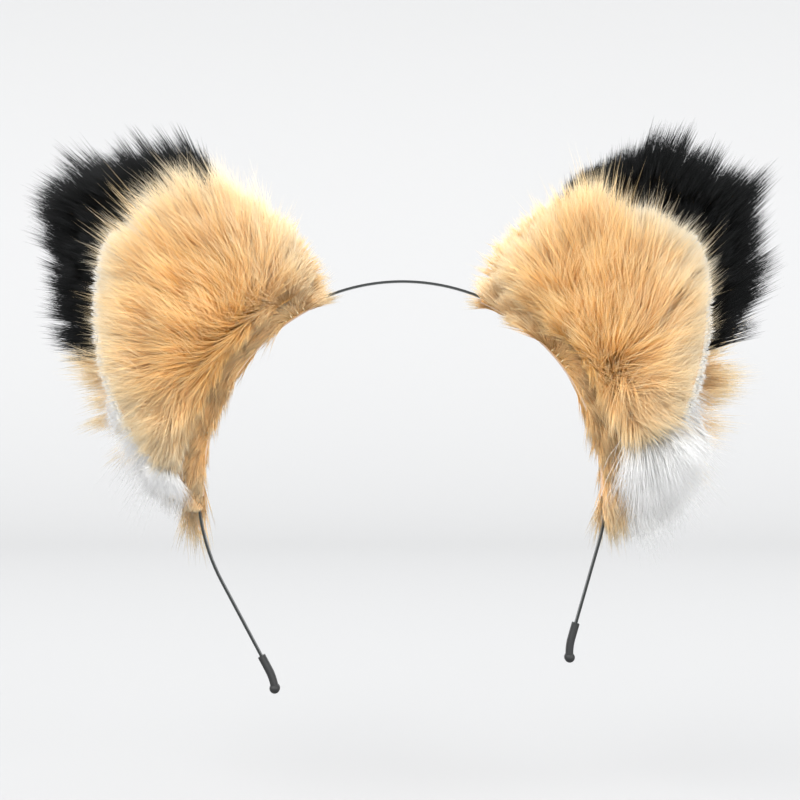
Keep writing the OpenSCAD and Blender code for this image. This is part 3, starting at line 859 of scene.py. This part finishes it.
# %% White plush on the linings
def lining_coat(side, layer, facing, seed):
    """Short plush on the side of a lining that faces the hollow."""
    sheet, away = lining_roots(side, layer, facing)
    places, normals = right_handed(sheet.data, side)
    outward = unit(nap_from(places, normals, side))
    nap_root = unit(outward * 0.8 + normals * 0.7)
    nap_tip = unit(outward + normals * 0.25)
    full = 7.0
    reach = trim_line(["front_fur"], side, [-60, 20, 60, 90], [-8, -4, -4, -8])
    pile = trimmed(places, (nap_root + nap_tip) / 2, full, reach, side) / full
    store(sheet.data, side, nap_root, nap_tip, pile, ramp(away["rim"], 0, 20, 3.0, 1.0), np.ones(len(places)))
    return grow(f"{layer}_plush_{side}", sheet, 2300, full, 0.44, white_fibre, seed, lock_mm2=4.0,
                segments=2)


# %% [markdown]
# The lower end of the hollow is filled with long, thin white hair. It is sparse, so that light reaches
# every hair and the edge fades away instead of ending in a line.

# %% Long white hair from the hollow
def fluff_coat(side, seed):
    """Long white hair that fans out and down from a point above the medial end of the hollow."""
    bm = side_of(f"inner_fluff_{side}", -1)
    bm.from_mesh(mesh_of("spare", side_of(f"inner_fluff_{side}", 1)))
    sheet = smooth_sheet(f"roots_{side}", bm, ROOT_LEVELS)
    places, normals = right_handed(sheet.data, side)
    fan = np.array([places[:, 0].min() - 13.0, 0, places[:, 2].max() + 7.0])
    outward = turned(unit((places - fan) * [1, 0, 1]), wander(places, seed, 14) * 14)
    nap_root = unit(outward * 0.95 + normals * 0.4)
    nap_tip = unit(outward + normals * 0.16 + DOWN * 0.15)
    full = 28.0
    reach = np.interp(BEARINGS, *FLUFF_REACH[side])
    length = trimmed(places, (nap_root + nap_tip) / 2, full, reach, side)
    store(sheet.data, side, nap_root, nap_tip, length / full, ramp(length, 1, 9), np.ones(len(places)))
    return grow(f"white_fluff_{side}", sheet, 4200, full, 0.18, white_fibre, seed, stray=0.2,
                lock_stray=0.2, lock_hold=0.25, lock_mm2=20, segments=2)


# %% [markdown]
# ## Fur strip along the sleeve
# A narrow strip of the same orange fabric runs down both faces of the sleeve. Its hair lies along the
# band: up and inwards at the top, down over the lower part, where it ends in a tuft.

# %% Strip coat
STRIP_FRONT_TO = {"left": 90.0, "right": 99.0}


def arc_of(node, side):
    """Inner and outer radius in mm, the two end angles in degrees and the half width of a bent strip."""
    places, _ = right_handed(nodes[f"{node}_{side}"].data, side)
    angle, reach = from_top(places)
    return reach.min(), reach.max(), angle.min(), angle.max(), np.abs(places[:, 1]).max()


def strip_coat(side, seed):
    """Hair on both faces of the sleeve, from roots on a slightly arched grid that is bent round the arc."""
    low_r, high_r, first, last, _ = arc_of("base_fur_strip", side)
    face_y = arc_of("band_sleeve", side)[-1]
    steps, across, arch = 60, 6, 1.4
    angles = np.radians(np.linspace(first + 3.0, last, steps + 1))
    radii = np.linspace(low_r - 1.2, high_r + 3.0, across + 1)
    corners, faces = [], []
    for face in (-1, 1):
        start = len(corners)
        for a in angles:
            for k, r in enumerate(radii):
                y = face * (face_y + math.sin(math.pi * k / across) * arch)
                corners.append((SIDES[side] * r * math.sin(a) * MM, y * MM, r * math.cos(a) * MM))
        for i in range(steps):
            for k in range(across):
                a = start + i * (across + 1) + k
                faces.append((a, a + across + 1, a + across + 2, a + 1))
    mesh = bpy.data.meshes.new(f"roots_{side}")
    mesh.from_pydata(corners, [], faces)
    sheet = made(f"roots_{side}", mesh)
    places, _ = right_handed(mesh, side)
    face = np.stack([np.zeros(len(places)), np.sign(places[:, 1]), np.zeros(len(places))], 1)
    along, radial, _ = along_band(places, side)
    turn, depth = from_top(places)
    firm = np.linalg.norm(along, axis=1)
    inside = ramp(depth, radii[0], radii[-1], -0.25, 1.0)[:, None] * firm[:, None]
    along = turned(along, wander(places, seed, 9) * 12)
    lean = radial * (1 - np.linalg.norm(along, axis=1))[:, None] * 0.9
    nap_root = unit(along * 0.9 + radial * inside * 0.25 + lean + face * 0.45)
    nap_tip = unit(along + radial * inside * 0.3 + lean - face * 0.1 + radial * 0.05)
    pile = ramp(turn, 84, 96, 0.8, 1.15) * ramp(turn, 24, 42, 0.75, 1.0)
    pile *= 0.4 + 0.6 * np.linalg.norm(along, axis=1)
    front_end = ramp(turn, STRIP_FRONT_TO[side] + 1, STRIP_FRONT_TO[side] - 6, 0.15, 1.0)
    pile = np.where(places[:, 1] < 0, pile * front_end, pile)
    # Paler at the medial end, which is painted light against the shade there, and paler towards the lower end
    tone = 0.4 + ramp(turn, 40, 26) * 0.25 + ramp(turn, 74, 94) * 0.3
    store(mesh, side, nap_root, nap_tip, pile, np.ones(len(places)), np.clip(tone, 0, 1))
    return grow(f"strip_pile_{side}", sheet, 9600, 17, 0.26, orange_fibre, seed, stray=0.16, lock_mm2=9.0,
                segments=2)


# %% [markdown]
# ## Cloth under the pile
# A sheet of cloth is one side of its CAD layer with a thin wall of its own. It could be a plain slab, but
# that looks like card, so its outline is the subdivided curve. Where two fabrics meet on one wall, the
# backing changes colour with the hair above it, and no wrong colour shows through a thin coat.

# %% A sheet with thickness
def in_two_colours(obj, side, second, belongs):
    """Gives the faces whose middles belong to the second colour their own material."""
    obj.data.materials.append(second)
    chosen = belongs(middles_of(obj.data, side)) > 0
    obj.data.polygons.foreach_set("material_index", chosen.astype(np.int32))


def cloth_piece(name, side, node, facing, thick_mm, lift_mm, material, share=1.0):
    """A sheet made from one side of a CAD layer, moved lift_mm off it, and its flat area in square metres."""
    obj = smooth_sheet(name, side_of(f"{node}_{side}", facing))
    pushed(obj, side, share, facing * lift_mm)
    area = sum(p.area for p in obj.data.polygons)
    thick = obj.modifiers.new("thickness", "SOLIDIFY")
    thick.thickness, thick.offset = thick_mm * MM, 0.0
    settled(obj)
    obj.data.materials.append(material)
    for polygon in obj.data.polygons:
        polygon.use_smooth = True
    return obj, area


# %% [markdown]
# The sleeve, its felt pad and the foot tape are strips bent to the band's curve. Each is one rounded
# section drawn along an arc, closed at both ends. The sleeve's section has a slot for the steel.

# %% A section drawn along an arc
def rounded_section(r_low, r_high, half_y, corner, per_corner=4):
    """Points (radius, y) in mm round a rectangle with rounded corners."""
    low, high, side_y = r_low + corner, r_high - corner, half_y - corner
    points = []
    for quarter, (r, y) in enumerate(((high, side_y), (low, side_y), (low, -side_y), (high, -side_y))):
        for k in range(per_corner + 1):
            turn = math.radians(90 * (quarter + k / per_corner))
            points.append((r + corner * math.cos(turn), y + corner * math.sin(turn)))
    return points


def bent_strip(name, side, section, first, last, material, slot=None, steps=56):
    """A closed strip of that section between two angles from the top, hollow where a slot is given."""
    loops = [section] + ([slot] if slot else [])
    bm = bmesh.new()
    rings = []
    for i in range(steps + 1):
        a = math.radians(first + (last - first) * i / steps)
        rings.append([[bm.verts.new((SIDES[side] * r * math.sin(a) * MM, y * MM, r * math.cos(a) * MM))
                       for r, y in loop] for loop in loops])
    n = len(section)
    for before, after in zip(rings, rings[1:]):
        for one, two in zip(before, after):
            for k in range(n):
                bm.faces.new((one[k], one[(k + 1) % n], two[(k + 1) % n], two[k]))
    for end in (rings[0], rings[-1]):
        if slot:
            for k in range(n):
                bm.faces.new((end[0][k], end[0][(k + 1) % n], end[1][(k + 1) % n], end[1][k]))
        else:
            bm.faces.new(end[0])
    bmesh.ops.recalc_face_normals(bm, faces=bm.faces)
    mesh = mesh_of(name, bm)
    mesh.materials.append(material)
    for polygon in mesh.polygons:
        polygon.use_smooth = len(polygon.vertices) == 4
    return made(name, mesh)


# %% Sleeve, pad and tape
BAND_HALF = max(abs(v) for v in (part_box("band_crown")[0][1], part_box("band_crown")[1][1])) / MM
BAND_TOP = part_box("band_crown")[1][2] / MM
print(f"steel strip: {2 * BAND_HALF:.1f} mm wide, outer radius {BAND_TOP:.1f} mm")


def sleeve_parts(side):
    """The sleeve with its channel for the steel, its felt pad and the foot tape."""
    low_r, high_r, first, last, half = arc_of("band_sleeve", side)
    channel = rounded_section(low_r + 0.25, BAND_TOP + 0.35, BAND_HALF + 0.3, 0.1)
    strips = []
    for name, node, corner, lowered, material, slot in (
        ("sleeve_cloth", "band_sleeve", 0.5, 0.0, orange_backing, channel),
        ("felt_pad_strip", "felt_pad", 0.5, 0.05, tan_felt, None),
        ("foot_tape_strip", "foot_tape", 0.3, 0.0, orange_backing, None),
    ):
        low_r, high_r, first, last, half = arc_of(node, side)
        section = rounded_section(low_r, high_r - lowered, half, corner)
        strips.append(bent_strip(f"{name}_{side}", side, section, first, last, material, slot))
    return strips


# %% [markdown]
# ## Rolls along the edges
# Along the open rim the white plush is turned over the edge of each wall as a soft roll. Along the closed
# seams the seam allowance makes a thicker roll between the walls. Each is a bent tube that follows the
# edge of a lining, and the pile tree covers it with short, dense hair, so that no bare edge shows from
# the side. The bearings are those about the foot where a roll starts and ends.

# %% Edge rolls
FRONT_ROLL_R, BACK_ROLL_R, SEAM_R = 1.5, 1.9, 2.4
RIM_FROM, RIM_TO, SEAM_FROM, SEAM_TO = 58, -36, 62, 137


def edge_path(side, layer, facing, first, last):
    """Points in mm, right-handed, along the edge of a lining between two bearings about the foot."""
    sheet = smooth_sheet("edge_guide", side_of(f"{layer}_lining_{side}", facing), ROOT_LEVELS)
    border = border_of(sheet.data, side)
    bpy.data.objects.remove(sheet)
    bearing, far = from_foot(border, side)
    stations = np.linspace(first, last, 60)
    path = np.array([border[np.where(np.abs(bearing - b) < 3, far, 0).argmax()] for b in stations])
    for _ in range(6):
        path[1:-1] = (path[:-2] + 2 * path[1:-1] + path[2:]) / 4
    return path


def edge_roll(name, side, path, radius, material):
    """A closed round roll of cloth along a path, thinner at both ends."""
    bm = bmesh.new()
    rings, sections = [], 10
    for i, spot in enumerate(path):
        ahead = path[min(i + 1, len(path) - 1)] - path[max(i - 1, 0)]
        ahead /= np.linalg.norm(ahead)
        out = np.cross([0, 1, 0], ahead)
        out /= np.linalg.norm(out)
        up = np.cross(ahead, out)
        thin = radius * min(1.0, 0.35 + i / 6, 0.35 + (len(path) - 1 - i) / 6)
        turns = np.linspace(0, 2 * math.pi, sections, endpoint=False)
        rings.append([bm.verts.new((spot + thin * (math.cos(t) * out + math.sin(t) * up)) * FLIP[side] * MM)
                      for t in turns])
    for one, two in zip(rings, rings[1:]):
        for k in range(sections):
            bm.faces.new((one[k], one[(k + 1) % sections], two[(k + 1) % sections], two[k]))
    bm.faces.new(rings[0])
    bm.faces.new(rings[-1])
    bmesh.ops.recalc_face_normals(bm, faces=bm.faces)
    mesh = mesh_of(name, bm)
    mesh.materials.append(material)
    for polygon in mesh.polygons:
        polygon.use_smooth = True
    return made(name, mesh)


def rim_roll(side, layer, facing, radius):
    """White plush turned over the open rim of one wall."""
    path = edge_path(side, layer, facing, RIM_FROM, RIM_TO)
    path[:, 1] += facing * 0.9
    return edge_roll(f"{layer}_rim_roll_{side}", side, path, radius, white_plush)


def seam_roll(side):
    """The seam allowance between the two walls, in the colours of the fabrics that meet in it."""
    front, back = (edge_path(side, layer, facing, SEAM_FROM, SEAM_TO)
                   for layer, facing in (("front", -1), ("back", 1)))
    roll = edge_roll(f"seam_roll_{side}", side, (front + back) / 2, SEAM_R, orange_backing)
    in_two_colours(roll, side, black_backing, lambda spots: np.minimum(near_black(spots, side), spots[:, 1]))
    return roll


def roll_coat(name, side, roll, strands, length_mm, width_mm, material, crowd, seed):
    """Hair that stands off a roll, and leans away from the foot."""
    sheet = made(f"roots_{side}", roll.data.copy())
    places, normals = right_handed(sheet.data, side)
    away = places[:, [0, 2]] - FEET[side]
    outward = unit(np.stack([away[:, 0], np.zeros(len(away)), away[:, 1]], 1))
    nap_root = unit(normals + outward * 0.3)
    nap_tip = unit(normals * 0.5 + outward * 0.7)
    even = np.ones(len(places))
    store(sheet.data, side, nap_root, nap_tip, even, crowd(places), even * 0.4)
    return grow(f"{name}_{side}", sheet, strands, length_mm, width_mm, material, seed, lock_mm2=3.0,
                segments=2)


def evenly(places):
    """The same crowd all over a roll."""
    return np.ones(len(places))


def medial_only(side):
    """A crowd that grows hair on the medial part of a seam roll, where the walls' coats leave it bare."""
    return lambda places: ramp(from_foot(places, side)[0], 84, 96)


# %% [markdown]
# ## Stitches
# The walls are closed by hand with whip stitches, loops of thread that go round the seam. A second
# Geometry Nodes tree lays them: it walks along a path at a fixed pitch and puts one thread loop at each
# step, with its long way across the seam and a small tilt of its own.

# %% Build the stitch tree
def stitch_tree():
    tree, given = new_tree("whip stitches", {"Pitch": "Float", "Across": "Float", "Deep": "Float",
                                             "Thread": "Float", "Tilt": "Float", "Seed": "Int",
                                             "Finish": "Material"})
    path = add(tree, "GeometryNodeMeshToCurve", None, {"Mesh": given["Geometry"]}).outputs[0]
    steps = add(tree, "GeometryNodeCurveToPoints", {"mode": "LENGTH"},
                {"Curve": path, "Length": given["Pitch"]})
    ring = add(tree, "GeometryNodeCurvePrimitiveCircle", None, {"Resolution": 14, "Radius": 1.0}).outputs[0]
    wide = add(tree, "ShaderNodeCombineXYZ", None, {0: given["Deep"], 1: given["Across"], 2: 1.0}).outputs[0]
    oval = add(tree, "GeometryNodeTransform", None, {"Geometry": ring, "Scale": wide}).outputs[0]
    ply = add(tree, "GeometryNodeCurvePrimitiveCircle", None,
              {"Resolution": 6, "Radius": given["Thread"]}).outputs[0]
    loop = add(tree, "GeometryNodeCurveToMesh", None, {"Curve": oval, "Profile Curve": ply}).outputs[0]
    faced = add(tree, "FunctionNodeAlignRotationToVector", {"axis": "Z"},
                {"Vector": steps.outputs["Tangent"]})
    levelled = add(tree, "FunctionNodeAlignRotationToVector", {"axis": "Y", "pivot_axis": "Z"},
                   {"Rotation": faced.outputs[0], "Vector": (0.0, 1.0, 0.0)})
    lean = add(tree, "ShaderNodeMath", {"operation": "MULTIPLY"}, {0: given["Tilt"], 1: -1.0}).outputs[0]
    chance = add(tree, "FunctionNodeRandomValue", {"data_type": "FLOAT"},
                 {2: lean, 3: given["Tilt"], "Seed": given["Seed"]}).outputs[1]
    turn = add(tree, "ShaderNodeCombineXYZ", None, {0: chance}).outputs[0]
    tilted = add(tree, "FunctionNodeRotateRotation", {"rotation_space": "LOCAL"},
                 {"Rotation": levelled.outputs[0], "Rotate By": turn})
    many = add(tree, "GeometryNodeInstanceOnPoints", None,
               {"Points": steps.outputs["Points"], "Instance": loop, "Rotation": tilted.outputs[0]})
    real = add(tree, "GeometryNodeRealizeInstances", None, {"Geometry": many.outputs[0]}).outputs[0]
    soft = add(tree, "GeometryNodeSetShadeSmooth", None, {"Geometry": real}).outputs[0]
    done = add(tree, "GeometryNodeSetMaterial", None,
               {"Geometry": soft, "Material": given["Finish"]}).outputs[0]
    add(tree, "NodeGroupOutput", None, {0: done})
    return tree


STITCHES = stitch_tree()
STITCH_INPUTS = identifiers(STITCHES)
THREAD_R_MM, THREAD_TILT = 0.22, 0.25
print("stitch tree:", len(STITCHES.nodes), "nodes; inputs", [n for n in STITCH_INPUTS if n != "Geometry"])


# %% Lay rows of stitches
def thread_places(node, side):
    """The middles of a CAD node's separate threads, in mm and right-handed."""
    bm = bmesh.new()
    bm.from_mesh(nodes[f"{node}_{side}"].data)
    bmesh.ops.remove_doubles(bm, verts=bm.verts, dist=1e-6)
    seen, middles = set(), []
    for first in bm.verts:
        if first in seen:
            continue
        seen.add(first)
        group, edge = [], [first]
        while edge:
            v = edge.pop()
            group.append(v.co.copy())
            for other in [e.other_vert(v) for e in v.link_edges]:
                if other not in seen:
                    seen.add(other)
                    edge.append(other)
        middles.append(sum(group, Vector()) / len(group))
    bm.free()
    return np.array(middles) / MM * FLIP[side]


def stitch_piece(name, side, rows, pitch_mm, across_mm, deep_mm, seed):
    """One piece of stitches that follows the given rows of points."""
    corners = [tuple(p * FLIP[side] * MM) for row in rows for p in row]
    edges, start = [], 0
    for row in rows:
        edges += [(start + k, start + k + 1) for k in range(len(row) - 1)]
        start += len(row)
    mesh = bpy.data.meshes.new(name)
    mesh.from_pydata(corners, edges, [])
    obj = made(name, mesh)
    layer = obj.modifiers.new("stitches", "NODES")
    layer.node_group = STITCHES
    wanted = {"Pitch": pitch_mm * MM, "Across": across_mm * MM, "Deep": deep_mm * MM,
              "Thread": THREAD_R_MM * MM, "Tilt": THREAD_TILT, "Seed": seed, "Finish": cream_thread}
    for key, value in wanted.items():
        layer[STITCH_INPUTS[key]] = value
    settled(obj)
    print(f"{name}: {len(obj.data.vertices) // 84} stitches")
    return obj


def in_order(points, angle):
    """The points in the order of their angle."""
    return points[np.argsort(angle(points))]


def stitches(side, seed):
    """Thread along the closed seams, along the rim of each wall, and along both hems of the sleeve."""
    def bearing(points):
        return from_foot(points, side)[0]

    def turn(points):
        return from_top(points)[0]

    seam, rim, hem = (thread_places(f"{edge}_stitches", side) for edge in ("seam", "rim", "sleeve"))
    rims = [in_order(rim[rim[:, 1] * face > 0], bearing) for face in (-1, 1)]
    hems = [in_order(hem[hem[:, 1] * face > 0], turn) for face in (-1, 1)]
    return (stitch_piece(f"seam_thread_{side}", side, [in_order(seam, bearing)], 4.0, 3.2, 0.9, seed),
            stitch_piece(f"rim_thread_{side}", side, rims, 4.0, 1.0, 0.6, seed + 1),
            stitch_piece(f"sleeve_thread_{side}", side, hems, 2.6, 0.35, 1.3, seed + 2))


# %% [markdown]
# ## Both ears
# The same steps make either ear. Only the combing, the trim line and the seeds differ.

# %% Sew and grow both ears
FRONT_SEEDS = (1, 81, 71, 65)
pieces, cloth_area = {}, {}
for index, side in enumerate(SIDES):
    seed = 100 * (index + 1)
    rolls = [rim_roll(side, "front", -1, FRONT_ROLL_R), rim_roll(side, "back", 1, BACK_ROLL_R),
             seam_roll(side)]
    grown = [front_coat(side, seed + own, layer) for layer, own in enumerate(FRONT_SEEDS)]
    grown += [back_coat(side, seed + 11, False), back_coat(side, seed + 21, True),
              lining_coat(side, "front", 1, seed + 31), lining_coat(side, "back", -1, seed + 41),
              fluff_coat(side, seed + 51), strip_coat(side, seed + 61), *rolls,
              inner_tip_coat(side, seed + 45)]
    for name, roll, strands, length, width, fibre, crowd, own in (
        ("front_rim_plush", rolls[0], 2300, 2.6, 0.32, white_fibre, evenly, 91),
        ("back_rim_plush", rolls[1], 1700, 2.8, 0.4, white_fibre, evenly, 93),
        ("seam_pile", rolls[2], 2600, 8.5, 0.34, orange_fibre, medial_only(side), 95),
    ):
        grown.append(roll_coat(name, side, roll, strands, length, width, fibre, crowd, seed + own))
    grown += [*sleeve_parts(side), *stitches(side, seed + 5)]
    for name, node, facing, thick, lift, material, share in (
        ("front_backing", "front_lining", -1, 0.9, 2.6, orange_backing, 1.0),
        ("front_lining_cloth", "front_lining", 1, 0.9, 0.5, white_plush, 1.0),
        ("front_felt", "front_stiffener", -1, 1.0, -0.6, white_felt, 1.0),
        ("back_backing", "back_lining", 1, 0.9, 2.6, black_backing, BACK_SHARE),
        ("back_lining_cloth", "back_lining", -1, 0.9, 0.5, white_plush, 1.0),
        ("back_felt", "back_stiffener", 1, 1.0, -0.6, white_felt, 1.0),
    ):
        piece, area = cloth_piece(f"{name}_{side}", side, node, facing, thick, lift, material, share)
        if name == "back_backing":
            in_two_colours(piece, side, orange_backing, lambda spots: -near_black(spots, side))
        if name == "front_backing":
            in_two_colours(piece, side, white_plush, lambda spots: from_top(spots)[0] - WHITE_FROM[side])
        grown.append(piece)
        cloth_area[piece.name] = area
    pieces.update({piece.name: piece for piece in grown})
print(f"{len(pieces)} pieces of cloth, thread and hair")

# %% [markdown]
# ## What moves with what
# An ear tilts on its foot against the sleeve. The strip's hair, the sleeve's cloth, the felt pad and the hem
# thread ride on the sleeve. Every other piece stays where it is, with its transform applied to its mesh.

# %% Ride on the sleeve or stay
ON_SLEEVE = ("strip_pile", "sleeve_cloth", "felt_pad_strip", "sleeve_thread")
for name, piece in pieces.items():
    kind, side = name.rsplit("_", 1)
    if kind in ON_SLEEVE:
        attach(piece, f"sleeve_{side}")
        continue
    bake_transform(piece)

# %% Stand for the CAD solids
STANDS_FOR = {"front_pile_0": "front_fur", "back_pile": "back_fur", "black_pile": "black_tip_fur",
              "front_lining_cloth": "front_lining", "back_lining_cloth": "back_lining",
              "front_felt": "front_stiffener", "back_felt": "back_stiffener", "white_fluff": "inner_fluff",
              "strip_pile": "base_fur_strip", "sleeve_cloth": "band_sleeve", "felt_pad_strip": "felt_pad",
              "foot_tape_strip": "foot_tape", "seam_thread": "seam_stitches",
              "rim_thread": "rim_stitches", "sleeve_thread": "sleeve_stitches"}
for kind, solid in STANDS_FOR.items():
    for side in SIDES:
        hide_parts(f"{solid}_{side}")
print(f"{2 * len(STANDS_FOR)} soft CAD solids are replaced")

# %% [markdown]
# ## Flat sizes
# Each wall's cloth is stretched over its stiffener and sewn down, so its flat size is its own outline. The
# sleeve's cloth is as long as its arc and twice as wide as the sleeve, since it goes round the steel. The
# felt pad is lightly filled.

for name, area in cloth_area.items():
    print(f"{name}: flat area {area * 1e4:.1f} square cm")
for side in SIDES:
    low_r, high_r, first, last, half = arc_of("band_sleeve", side)
    length = math.radians(last - first) * (low_r + high_r) / 2 * MM
